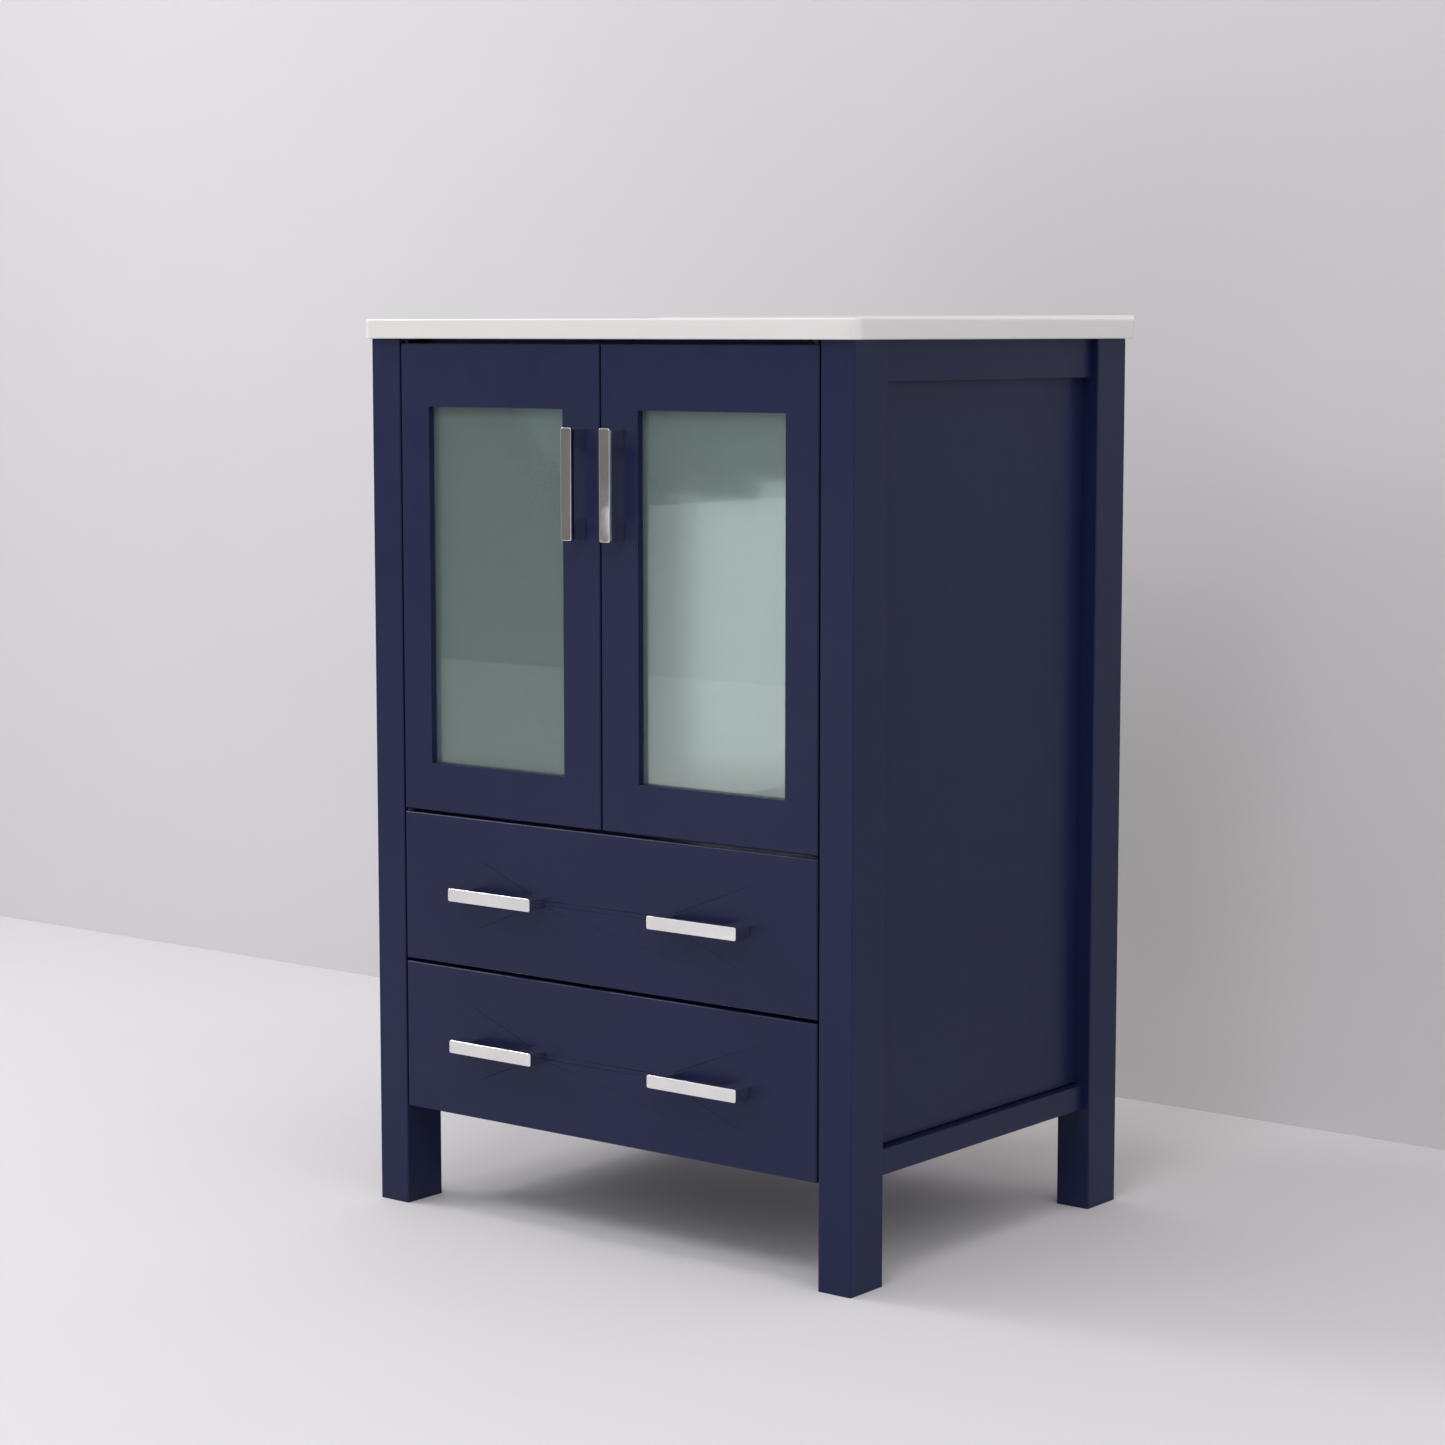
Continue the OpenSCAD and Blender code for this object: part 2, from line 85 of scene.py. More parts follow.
def make_camera():
    data = bpy.data.cameras.new("camera")
    data.lens = CAMERA_LENS
    data.sensor_width = 36.0
    data.clip_end = 60.0
    camera = add_object("camera", data)
    camera.location = CAMERA_PLACE
    camera.rotation_euler = [math.radians(a) for a in CAMERA_TURN]
    bpy.context.scene.camera = camera


# ---- Materials ----

# Most of a noise value lies between these two
NOISE_LOW, NOISE_HIGH = 0.3, 0.7
# The thickness of a light ply and a dark ply together
PLY_PAIR = 2.8 * MM


class Shader:
    """A material whose Principled shader is called surface, with short ways to add and join nodes."""

    def __init__(self, name, **sockets):
        self.material = bpy.data.materials.new(name)
        self.material.use_nodes = True
        self.tree = self.material.node_tree
        self.surface = self.tree.nodes["Principled BSDF"]
        self.output = self.tree.nodes["Material Output"]
        for socket, value in sockets.items():
            self.surface.inputs[socket.replace("_", " ")].default_value = value

    def node(self, kind, values=None, **settings):
        made = self.tree.nodes.new("ShaderNode" + kind)
        for key, value in settings.items():
            setattr(made, key, value)
        for socket, value in (values or {}).items():
            if isinstance(value, bpy.types.NodeSocket):
                self.tree.links.new(value, made.inputs[socket])
            else:
                made.inputs[socket].default_value = value
        return made

    def to(self, socket, value):
        self.tree.links.new(value, self.surface.inputs[socket])

    def place(self, scale=(1, 1, 1)):
        """Positions on the piece in its rest place, in metres, stretched by scale."""
        where = self.node("TexCoord").outputs["Object"]
        return self.node("Mapping", {"Vector": where, "Scale": scale}).outputs["Vector"]

    def noise(self, scale, detail=2.0, stretch=(1, 1, 1), roughness=0.5):
        values = {"Vector": self.place(stretch), "Scale": scale, "Detail": detail, "Roughness": roughness}
        return self.node("TexNoise", values).outputs["Fac"]

    def ramp(self, value, stops):
        """Turns a 0 to 1 value into a colour; stops are (position, colour) pairs."""
        made = self.node("ValToRGB", {"Fac": value})
        points = made.color_ramp.elements
        while len(points) < len(stops):
            points.new(0.5)
        for point, (position, colour) in zip(points, stops):
            point.position = position
            point.color = (*colour, 1.0)
        return made.outputs["Color"]

    def between(self, value, low, high):
        """Spreads a noise value over low to high."""
        values = {"Value": value, "From Min": NOISE_LOW, "From Max": NOISE_HIGH}
        values.update({"To Min": low, "To Max": high})
        return self.node("MapRange", values).outputs["Result"]

    def tint(self, value, low, high):
        """Spreads a noise value over two colours."""
        return self.ramp(value, [(NOISE_LOW, low), (NOISE_HIGH, high)])

    def bump(self, height, strength, distance):
        values = {"Height": height, "Strength": strength, "Distance": distance}
        self.to("Normal", self.node("Bump", values).outputs["Normal"])


def navy_paint():
    """Satin lacquer on board: a very slight orange peel, and a broad cloudiness in colour and gloss."""
    s = Shader("navy_paint", Specular_IOR_Level=0.22)
    s.to("Base Color", s.tint(s.noise(5.0, 3.0), (0.0088, 0.0125, 0.048), (0.0100, 0.0140, 0.052)))
    s.to("Roughness", s.between(s.noise(38.0, 4.0), 0.32, 0.40))
    s.bump(s.noise(520.0, 2.0), 0.06, 0.1 * MM)
    return s.material


def ceramic():
    """Gloss white glaze, with the faint waviness of a fired surface."""
    s = Shader("ceramic", Specular_IOR_Level=0.55, Coat_Weight=0.6, Coat_Roughness=0.04)
    s.to("Base Color", s.tint(s.noise(7.0, 3.0), (0.715, 0.70, 0.69), (0.74, 0.725, 0.715)))
    s.to("Roughness", s.between(s.noise(60.0, 3.0), 0.12, 0.2))
    s.bump(s.noise(42.0, 2.0), 0.05, 0.3 * MM)
    return s.material


def frosted_glass():
    """Etched grey-green glass: what lies behind it blurs, while its smooth front mirrors the room."""
    s = Shader("frosted_glass", IOR=1.45, Transmission_Weight=0.84, Coat_Weight=1.0, Coat_Roughness=0.0)
    s.to("Base Color", s.tint(s.noise(40.0, 3.0), (0.475, 0.635, 0.61), (0.49, 0.65, 0.625)))
    s.to("Roughness", s.between(s.noise(60.0, 3.0), 0.18, 0.20))
    return s.material


def chrome():
    """Polished plating with a faint film and hair-fine polishing lines."""
    s = Shader("chrome", Metallic=1.0)
    s.to("Base Color", s.tint(s.noise(30.0, 3.0), (0.73, 0.72, 0.71), (0.80, 0.79, 0.78)))
    s.to("Roughness", s.between(s.noise(70.0, 4.0), 0.04, 0.08))
    s.bump(s.noise(500.0, 2.0), 0.02, 0.05 * MM)
    return s.material


def zinc_steel():
    """Rolled sheet with a zinc finish: a soft spangle and lines along the length of the slides."""
    s = Shader("zinc_steel", Metallic=1.0)
    s.to("Base Color", s.tint(s.noise(160.0, 4.0), (0.52, 0.53, 0.55), (0.66, 0.67, 0.69)))
    s.to("Roughness", s.between(s.noise(900.0, 3.0, (1, 0.04, 1)), 0.26, 0.4))
    s.bump(s.noise(1200.0, 2.0, (1, 0.03, 1)), 0.08, 0.05 * MM)
    return s.material


def dark_steel():
    """Blackened hinge hardware, rubbed a little brighter where it is handled."""
    s = Shader("dark_steel", Metallic=0.7, Specular_IOR_Level=0.3)
    s.to("Base Color", s.tint(s.noise(220.0, 4.0), (0.018, 0.019, 0.022), (0.034, 0.035, 0.039)))
    s.to("Roughness", s.between(s.noise(800.0, 3.0), 0.42, 0.58))
    s.bump(s.noise(1500.0, 2.0), 0.08, 0.05 * MM)
    return s.material


def screw_steel():
    """Bright plated screws, slightly uneven where a driver has turned them."""
    s = Shader("screw_steel", Metallic=1.0)
    s.to("Base Color", s.tint(s.noise(400.0, 3.0), (0.50, 0.50, 0.52), (0.64, 0.64, 0.66)))
    s.to("Roughness", s.between(s.noise(700.0, 3.0), 0.2, 0.36))
    return s.material


def catch_plastic():
    """Moulded plastic with a fine spark-eroded texture."""
    s = Shader("catch_plastic", Specular_IOR_Level=0.4)
    s.to("Base Color", s.tint(s.noise(90.0, 3.0), (0.045, 0.046, 0.05), (0.06, 0.061, 0.066)))
    s.to("Roughness", s.between(s.noise(300.0, 2.0), 0.5, 0.62))
    s.bump(s.noise(2600.0, 2.0), 0.2, 0.05 * MM)
    return s.material


AXES = {"x": 0, "y": 1, "z": 2}


def birch(grain, thick):
    """Lacquered plywood: its grain runs along one axis, and its plies show on the edges across another."""
    s = Shader(f"birch_{grain}{thick}", Specular_IOR_Level=0.4, Coat_Weight=0.15, Coat_Roughness=0.3)
    stretch = [1.0, 1.0, 1.0]
    stretch[AXES[grain]] = 0.06
    figure = s.noise(62.0, 6.0, stretch, 0.6)
    face = s.ramp(figure, [
        (NOISE_LOW, (0.50, 0.335, 0.175)),
        (0.5, (0.62, 0.445, 0.26)),
        (NOISE_HIGH, (0.70, 0.535, 0.34)),
    ])
    axis = [0.0, 0.0, 0.0]
    axis[AXES[thick]] = 1.0
    coords = s.node("TexCoord")
    depth = s.node("VectorMath", {0: coords.outputs["Object"], 1: axis}, operation="DOT_PRODUCT")
    bands = s.node("Math", {0: depth.outputs["Value"], 1: 2 * math.pi / PLY_PAIR}, operation="MULTIPLY")
    wave = s.node("Math", {0: bands.outputs[0]}, operation="SINE")
    plies = s.ramp(
        s.node("MapRange", {"Value": wave.outputs[0], "From Min": -1.0}).outputs["Result"],
        [(0.42, (0.40, 0.24, 0.12)), (0.58, (0.66, 0.49, 0.30))],
    )
    facing = s.node("VectorMath", {0: coords.outputs["Normal"], 1: axis}, operation="DOT_PRODUCT")
    flat = s.node("Math", {0: facing.outputs["Value"]}, operation="ABSOLUTE")
    on_face = s.node("Math", {0: flat.outputs[0], 1: 0.5}, operation="GREATER_THAN")
    colour = s.node("MixRGB", {"Fac": on_face.outputs[0], "Color1": plies, "Color2": face})
    s.to("Base Color", colour.outputs["Color"])
    s.to("Roughness", s.between(figure, 0.38, 0.52))
    s.bump(s.noise(300.0, 4.0, stretch), 0.12, 0.1 * MM)
    return s.material


def clear_from_behind(s):
    """Makes a stage surface clear from its back, so that the object shows from every side."""
    clear = s.node("BsdfTransparent")
    behind = s.node("NewGeometry").outputs["Backfacing"]
    mix = s.node("MixShader", {"Fac": behind, 1: s.surface.outputs["BSDF"], 2: clear.outputs["BSDF"]})
    s.tree.links.new(mix.outputs["Shader"], s.output.inputs["Surface"])
    return s.material


def plain_wall():
    s = Shader("backdrop", Roughness=0.9)
    s.to("Base Color", s.tint(s.noise(3.0, 2.0), (0.61, 0.60, 0.615), (0.62, 0.61, 0.625)))
    return clear_from_behind(s)


def plain_floor():
    s = Shader("floor", Roughness=0.75, Specular_IOR_Level=0.3)
    s.to("Base Color", s.tint(s.noise(3.0, 2.0), (0.665, 0.655, 0.665), (0.675, 0.665, 0.675)))
    return clear_from_behind(s)


# ---- Finishing ----


def smooth_nodes():
    """A modifier's nodes that shade every face smooth, so that the mesh beneath stays as it is."""
    group = bpy.data.node_groups.new("shade_smooth", "GeometryNodeTree")
    for way in ("INPUT", "OUTPUT"):
        group.interface.new_socket("Geometry", in_out=way, socket_type="NodeSocketGeometry")
    start = group.nodes.new("NodeGroupInput")
    smooth = group.nodes.new("GeometryNodeSetShadeSmooth")
    end = group.nodes.new("NodeGroupOutput")
    group.links.new(start.outputs["Geometry"], smooth.inputs["Geometry"])
    group.links.new(smooth.outputs["Geometry"], end.inputs["Geometry"])
    return group


SMOOTH = smooth_nodes()

# How wide each kind of piece's edges are rounded
PAINT_EDGE = 0.3 * MM
METAL_EDGE = 0.1 * MM
BOARD_EDGE = 0.2 * MM
MOULD_EDGE = 0.5 * MM
GLASS_EDGE = 0.3 * MM


def shade(piece, material):
    """Sets a piece's material on its object's own slots."""
    if not piece.material_slots:
        piece.data.materials.append(material)
    for holder in piece.material_slots:
        holder.link = "OBJECT"
        holder.material = material


def soften(piece, width, segments=2, angle=30):
    """Rounds every edge sharper than angle a little, to catch the light, and keeps flat faces flat."""
    weld = piece.modifiers.new("weld", "WELD")
    weld.merge_threshold = HAIR
    bevel = piece.modifiers.new("edges", "BEVEL")
    bevel.width = width
    bevel.segments = segments
    bevel.limit_method = "ANGLE"
    bevel.angle_limit = math.radians(angle)
    piece.modifiers.new("smooth", "NODES").node_group = SMOOTH
    piece.modifiers.new("flats", "WEIGHTED_NORMAL").weight = 100


def finish_node(name, material, width):
    """A CAD node that stays: softened edges and its own material."""
    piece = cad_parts[name]
    shade(piece, material)
    soften(piece, width)


def stand_in(piece, node, body, material):
    """Gives a built piece its finish and its body, and puts it in the place of a CAD node."""
    shade(piece, material)
    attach(piece, body)
    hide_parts(node)


def mesh_from(name, points, faces):
    mesh = bpy.data.meshes.new(name)
    mesh.from_pydata([tuple(p) for p in points], [], faces)
    mesh.validate()
    form = bmesh.new()
    form.from_mesh(mesh)
    bmesh.ops.recalc_face_normals(form, faces=form.faces)
    form.to_mesh(mesh)
    form.free()
    for polygon in mesh.polygons:
        polygon.use_smooth = True
    return mesh


def loft(rings, closed=False):
    """Points and faces of a skin over equal rings; the ends are capped unless the skin closes on itself."""
    n = len(rings[0])
    points = [p for ring in rings for p in ring]
    count = len(rings)
    faces = []
    for k in range(count if closed else count - 1):
        a, b = k * n, ((k + 1) % count) * n
        faces += [(a + i, a + (i + 1) % n, b + (i + 1) % n, b + i) for i in range(n)]
    if not closed:
        faces += [tuple(range(n))[::-1], tuple(range((count - 1) * n, count * n))]
    return points, faces


def cut(piece, tool, operation="DIFFERENCE"):
    """Applies a boolean with another mesh object, which is then removed."""
    change = piece.modifiers.new("cut", "BOOLEAN")
    change.operation = operation
    change.object = tool
    change.solver = "EXACT"
    bpy.context.view_layer.update()
    solid = bpy.data.meshes.new_from_object(piece.evaluated_get(bpy.context.evaluated_depsgraph_get()))
    piece.modifiers.remove(change)
    piece.data = solid
    bpy.data.objects.remove(tool)


def cylinder(radius, start, end, sides=64):
    """A round cutter between two points."""
    start, end = Vector(start), Vector(end)
    turn = (end - start).to_track_quat("Z", "Y").to_matrix()
    circle = [
        turn @ Vector((radius * math.cos(a), radius * math.sin(a), 0.0))
        for a in (2 * math.pi * i / sides for i in range(sides))
    ]
    points, faces = loft([[start + p for p in circle], [end + p for p in circle]])
    return add_object("cutter", mesh_from("cutter", points, faces))


# ---- Sink top ----

DECK_Z = 901.5 * MM
LEDGE_FRONT = cad_high.y - 8 * MM
CORNER = 11 * MM
SLAB_T = 19.5 * MM
BASIN_HALF = Vector((230 * MM, 150 * MM))
# The handles stand out this far in front of the doors and drawers
FRONT_Y = cad_low.y + 22.4 * MM
BASIN_Y = FRONT_Y + 202 * MM
BASIN_CORNER = 60 * MM
BASIN_FLOOR = DECK_Z - 150 * MM
BALL = 60 * MM
BALL_RUN = 95 * MM
WALL = 8 * MM
TAP_Y = FRONT_Y + 410 * MM
TAP_R = 17.5 * MM
WASTE_R = 22.5 * MM
SEAT_R = 33 * MM
BOSS_R = 34 * MM
BOSS_LOW = BASIN_FLOOR - 28 * MM
SLAB_EDGE = 2 * MM
RIM_LIP = 4 * MM
UNDER_LIP = 2 * MM
SEAT_DEEP = 3 * MM
SEAT_EDGE = 0.8 * MM
BOSS_EDGE = 1 * MM
LEDGE_SET_IN = 5 * MM
TOP_EDGE = 1.0 * MM
DUCT_W = 18 * MM
DUCT_T = 9 * MM
DUCT_SKIN = 6 * MM
DUCT_RISE = 80 * MM
DUCT_BENDS = 12
OVERFLOW_R = 8 * MM
CORNER_STEPS = 20
BEND_STEPS = 5
BALL_STEPS = 14
SEAT_BLENDS = 6
FLAT_BLENDS = 4
# How far round a foot's arc turns: just short of a quarter, where its ring would shrink to nothing
BALL_SWEEP = math.radians(86)


def outline_directions():
    """A rounded rectangle's corner points: each one's unit direction and the signs of its corner."""
    out = []
    for quadrant, (sx, sy) in enumerate([(1, 1), (-1, 1), (-1, -1), (1, -1)]):
        for k in range(CORNER_STEPS + 1):
            a = math.pi / 2 * (quadrant + k / CORNER_STEPS)
            out.append((Vector((math.cos(a), math.sin(a))), Vector((sx, sy))))
    return out


DIRECTIONS = outline_directions()


def corner_centre(half, inset, sign):
    """The point that lies inset in from both sides at one corner of a rectangle about the origin."""
    return Vector((sign.x * (half.x - inset), sign.y * (half.y - inset)))


def slab_ring(y_mid, half, radius, z, grow=0.0):
    ring = []
    for n, sign in DIRECTIONS:
        p = corner_centre(half, radius, sign) + (radius + grow) * n
        ring.append((p.x, y_mid + p.y, z))
    return ring


def round_ring(radius, z):
    """A ring of the same number of points on a circle about the waste outlet."""
    return [(radius * n.x, BASIN_Y + radius * n.y, z) for n in even_directions()]


def even_directions():
    """As many unit directions as the outline has points, evenly round a circle."""
    count = len(DIRECTIONS)
    turns = [2 * math.pi * i / count for i in range(count)]
    return [Vector((math.cos(a), math.sin(a))) for a in turns]


def bend(start, corner, end):
    """Points on a smooth turn from start to end, drawn towards the corner."""
    out = []
    for k in range(BEND_STEPS + 1):
        t = k / BEND_STEPS
        out.append((1 - t) ** 2 * start + 2 * t * (1 - t) * corner + t * t * end)
    return out


def bowl_rings(grow, top_z, lip):
    """Rings down a bowl wall: the lip at the rim, the leaning wall and the round at the foot."""
    radius = BALL + grow
    drop = top_z - (BASIN_FLOOR + BALL)
    profiles = []
    for n, sign in DIRECTIONS:
        ball_centre = corner_centre(BASIN_HALF, BALL_RUN, sign)
        rim = corner_centre(BASIN_HALF, BASIN_CORNER, sign) + (BASIN_CORNER + grow) * n
        run = (rim - ball_centre).dot(n)
        tilt = math.atan2(run, drop) - math.asin(min(1.0, radius / math.hypot(run, drop)))
        arc = []
        for k in range(BALL_STEPS + 1):
            a = -tilt - (BALL_SWEEP - tilt) * k / BALL_STEPS
            p = ball_centre + radius * math.cos(a) * n
            arc.append(Vector((p.x, BASIN_Y + p.y, BASIN_FLOOR + BALL + radius * math.sin(a))))
        edge = Vector((rim.x, BASIN_Y + rim.y, top_z))
        out = Vector((n.x, n.y, 0.0))
        profiles.append(bend(edge + lip * out, edge, edge + lip * (arc[0] - edge).normalized()) + arc)
    return [[profile[k] for profile in profiles] for k in range(len(profiles[0]))]


def blend_rings(outer, inner, steps):
    """Rings between two rings, to carry one outline over into another."""
    return [
        [tuple(Vector(a).lerp(Vector(b), k / steps)) for a, b in zip(outer, inner)]
        for k in range(1, steps)
    ]


def ledge_solid(slab_y, half, top):
    """The ledge along the back edge, between the slab's rear corners, set a little way into the slab."""
    into_corner = LEDGE_FRONT - (slab_y + half.y - CORNER)
    end_x = half.x - CORNER + math.sqrt(CORNER**2 - into_corner**2)
    rear = [(x, y) for x, y, _ in slab_ring(slab_y, half, CORNER, 0.0) if y > LEDGE_FRONT + HAIR]
    outline = [(end_x, LEDGE_FRONT), *rear, (-end_x, LEDGE_FRONT)]
    points, faces = loft([[(x, y, z) for x, y in outline] for z in (DECK_Z - LEDGE_SET_IN, top)])
    return add_object("ledge", mesh_from("ledge", points, faces))


def duct_path(end_y):
    """The overflow duct's middle line as (Y, Z) points from its top down to end_y, and its tilt."""
    drop = DECK_Z - BASIN_FLOOR - BALL
    tilt = math.atan2(BALL_RUN, drop) - math.asin(BALL / math.hypot(BALL_RUN, drop))
    reach = BALL + DUCT_SKIN + DUCT_T / 2
    centre = Vector((BASIN_Y - BASIN_HALF.y + BALL_RUN, BASIN_FLOOR + BALL))
    turns = [math.pi + tilt + (math.pi / 2 - tilt) * k / DUCT_BENDS for k in range(DUCT_BENDS + 1)]
    foot = [centre + reach * Vector((math.cos(a), math.sin(a))) for a in turns]
    top = foot[0] + DUCT_RISE * Vector((-math.sin(tilt), math.cos(tilt)))
    return [top, *foot, Vector((end_y, centre.y - reach))], tilt


def duct_solid(width, inward, outward, past_top, end_y):
    """A bent bar along the duct, from inward of its middle line (towards the bowl) to outward of it."""
    path, _ = duct_path(end_y)
    path[0] = path[0] + past_top * (path[0] - path[1]).normalized()
    last = len(path) - 1
    sides = []
    for d in (inward, -outward):
        row = []
        for i, p in enumerate(path):
            ahead = (path[min(i + 1, last)] - path[min(i, last - 1)]).normalized()
            behind = (path[max(i, 1)] - path[max(i - 1, 0)]).normalized()
            side = Vector((-(ahead + behind).y, (ahead + behind).x)).normalized()
            row.append(p + side * d / side.dot(Vector((-ahead.y, ahead.x))))
        sides.append(row)
    outline = sides[0] + sides[1][::-1]
    points, faces = loft([[(x, p.x, p.y) for p in outline] for x in (-width / 2, width / 2)])
    return add_object("duct", mesh_from("duct", points, faces))


def add_overflow(piece):
    """The duct behind the bowl's front wall, its way into the waste outlet, and the hole near the rim."""
    outer_w, outer = DUCT_W + 2 * DUCT_SKIN, DUCT_T / 2 + DUCT_SKIN
    in_boss = BASIN_Y - (WASTE_R + BOSS_R) / 2
    cut(piece, duct_solid(outer_w, outer - WALL / 2, outer, outer, in_boss), "UNION")
    cut(piece, duct_solid(DUCT_W, DUCT_T / 2, DUCT_T / 2, DUCT_T / 2, BASIN_Y - WASTE_R / 2))
    path, tilt = duct_path(in_boss)
    start = Vector((0.0, path[0].x, path[0].y))
    way = Vector((0.0, math.cos(tilt), math.sin(tilt)))
    cut(piece, cylinder(OVERFLOW_R, start, start + (DUCT_T + 2 * DUCT_SKIN) * way, 48))


def make_sink_top(material):
    low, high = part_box("sink_top")
    slab_y = (low.y + high.y) / 2
    half = Vector(((high.x - low.x) / 2, (high.y - low.y) / 2))
    under = DECK_Z - SLAB_T

    def slab_edge(z, sign):
        """Rings round a horizontal edge of the slab, from its face to its side."""
        turns = bend(Vector((-SLAB_EDGE, 0.0)), Vector((0.0, 0.0)), Vector((0.0, -SLAB_EDGE)))
        return [slab_ring(slab_y, half, CORNER, z + sign * t.y, t.x) for t in turns]

    inside = bowl_rings(0.0, DECK_Z, RIM_LIP)
    outside = bowl_rings(WALL, under, -UNDER_LIP)
    top, bottom = slab_edge(DECK_Z, 1), slab_edge(under, -1)
    seat = round_ring(SEAT_R, BASIN_FLOOR)
    foot = round_ring(BOSS_R, BASIN_FLOOR - WALL)
    seat_low = BASIN_FLOOR - SEAT_DEEP
    rings = [round_ring(WASTE_R, BOSS_LOW), round_ring(WASTE_R, seat_low)]
    rings += [round_ring(SEAT_R - SEAT_EDGE, seat_low), round_ring(SEAT_R, seat_low + SEAT_EDGE)]
    rings += [round_ring(SEAT_R, BASIN_FLOOR - SEAT_EDGE), round_ring(SEAT_R + SEAT_EDGE, BASIN_FLOOR)]
    rings += blend_rings(seat, inside[-1], SEAT_BLENDS) + inside[::-1]
    rings += blend_rings(inside[0], top[0], FLAT_BLENDS) + top + bottom[::-1]
    rings += blend_rings(bottom[0], outside[0], FLAT_BLENDS) + outside
    rings += blend_rings(outside[-1], foot, FLAT_BLENDS)
    rings += [foot, round_ring(BOSS_R, BOSS_LOW + BOSS_EDGE), round_ring(BOSS_R - BOSS_EDGE, BOSS_LOW)]
    points, faces = loft(rings, closed=True)
    piece = add_object("sink_top_smooth", mesh_from("sink_top_smooth", points, faces))

    cut(piece, ledge_solid(slab_y, half, high.z), "UNION")
    cut(piece, cylinder(TAP_R, (0, TAP_Y, under - PAST), (0, TAP_Y, DECK_Z + PAST)))
    add_overflow(piece)
    stand_in(piece, "sink_top", CABINET, material)
    soften(piece, TOP_EDGE, segments=3, angle=50)


# ---- Handles ----

PULL_T = 5.5 * MM
PULL_FOOT = 20 * MM
PULL_CORNER = 2 * MM
PULL_EDGE = 0.7 * MM
PULL_ROUNDS = 6


def make_handle(node, body, material):
    """A square staple: rounded at the corners of its face, with a fine bevel along every edge."""
    low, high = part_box(node)
    size = high - low
    along, across = (2, 0) if size.z > size.x else (0, 2)
    length, width, depth = size[along], size[across], size.y
    a = length / 2
    side_view = [
        (-a, 0), (a, 0), (a, depth), (a - PULL_FOOT, depth), (a - PULL_FOOT, PULL_T),
        (-a + PULL_FOOT, PULL_T), (-a + PULL_FOOT, depth), (-a, depth),
    ]
    form = bmesh.new()
    rows = [[form.verts.new((x, y, z)) for x, y in side_view] for z in (-width / 2, width / 2)]
    form.faces.new(rows[0][::-1])
    form.faces.new(rows[1])
    count = len(side_view)
    for i in range(count):
        j = (i + 1) % count
        form.faces.new((rows[0][i], rows[0][j], rows[1][j], rows[1][i]))
    bmesh.ops.recalc_face_normals(form, faces=form.faces)
    outer = []
    for e in form.edges:
        at_end = all(abs(abs(v.co.x) - a) < TOUCHING for v in e.verts)
        if at_end and abs(e.verts[0].co.y - e.verts[1].co.y) > depth / 2:
            outer.append(e)
    bmesh.ops.bevel(form, geom=outer, offset=PULL_CORNER, segments=PULL_ROUNDS, profile=0.5, affect="EDGES")
    if along == 2:
        bmesh.ops.rotate(form, verts=form.verts, matrix=Matrix.Rotation(math.radians(-90), 3, "Y"))
    middle = (low + high) / 2
    bmesh.ops.translate(form, verts=form.verts, vec=Vector((middle.x, low.y, middle.z)))
    mesh = bpy.data.meshes.new(node + "_plated")
    form.to_mesh(mesh)
    form.free()
    piece = add_object(node + "_plated", mesh)
    stand_in(piece, node, body, material)
    soften(piece, PULL_EDGE, segments=3, angle=35)


# ---- Handle screws ----

PULL_PITCH = 96 * MM
SHANK_R = 2 * MM
SHANK_TIP = 0.6 * MM
HEAD_R = 4 * MM
HEAD_T = 2.4 * MM
HEAD_RIM = 0.8 * MM
RECESS_ARM = 2.3 * MM
RECESS_HALF = 0.45 * MM
RECESS_DEEP = 1.3 * MM
SCREW_SIDES = 32
DOME_STEPS = 6
DOME_SWEEP = math.radians(80)


def screw_spots(handles):
    """The two screws' middles of each handle, from the handle's own box."""
    spots = []
    for handle in handles:
        low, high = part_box(handle)
        size = high - low
        along = Vector((0, 0, 1)) if size.z > size.x else Vector((1, 0, 0))
        spots += [(low + high) / 2 + side * PULL_PITCH / 2 * along for side in (-1, 1)]
    return spots


def joined(name, forms):
    """One mesh object from several lists of points and faces."""
    points, faces = [], []
    for some_points, some_faces in forms:
        start = len(points)
        points += some_points
        faces += [tuple(start + i for i in face) for face in some_faces]
    return add_object(name, mesh_from(name, points, faces))


def screw_form(spot, tip, back):
    """A pan-head screw along Y from its tip to the back of its head."""
    seat = back - HEAD_T
    profile = [(SHANK_R - SHANK_TIP, tip), (SHANK_R, tip + SHANK_TIP), (SHANK_R, seat), (HEAD_R, seat)]
    for k in range(DOME_STEPS + 1):
        a = DOME_SWEEP * k / DOME_STEPS
        profile.append((HEAD_R * math.cos(a), seat + HEAD_RIM + (HEAD_T - HEAD_RIM) * math.sin(a)))
    turns = [2 * math.pi * i / SCREW_SIDES for i in range(SCREW_SIDES)]
    rings = [[(spot.x + r * math.cos(t), y, spot.z + r * math.sin(t)) for t in turns] for r, y in profile]
    return loft(rings)


def recess_form(spot, back):
    """The cross that a driver turns, as a cutter that runs past the back of the head."""
    arm, half = RECESS_ARM, RECESS_HALF
    quarter = [(arm, -half), (arm, half), (half, half)]
    cross = []
    for turn in range(4):
        for x, z in quarter:
            for _ in range(turn):
                x, z = -z, x
            cross.append((x, z))
    ends = (back - RECESS_DEEP, back + HEAD_T)
    return loft([[(spot.x + x, y, spot.z + z) for x, z in cross] for y in ends])


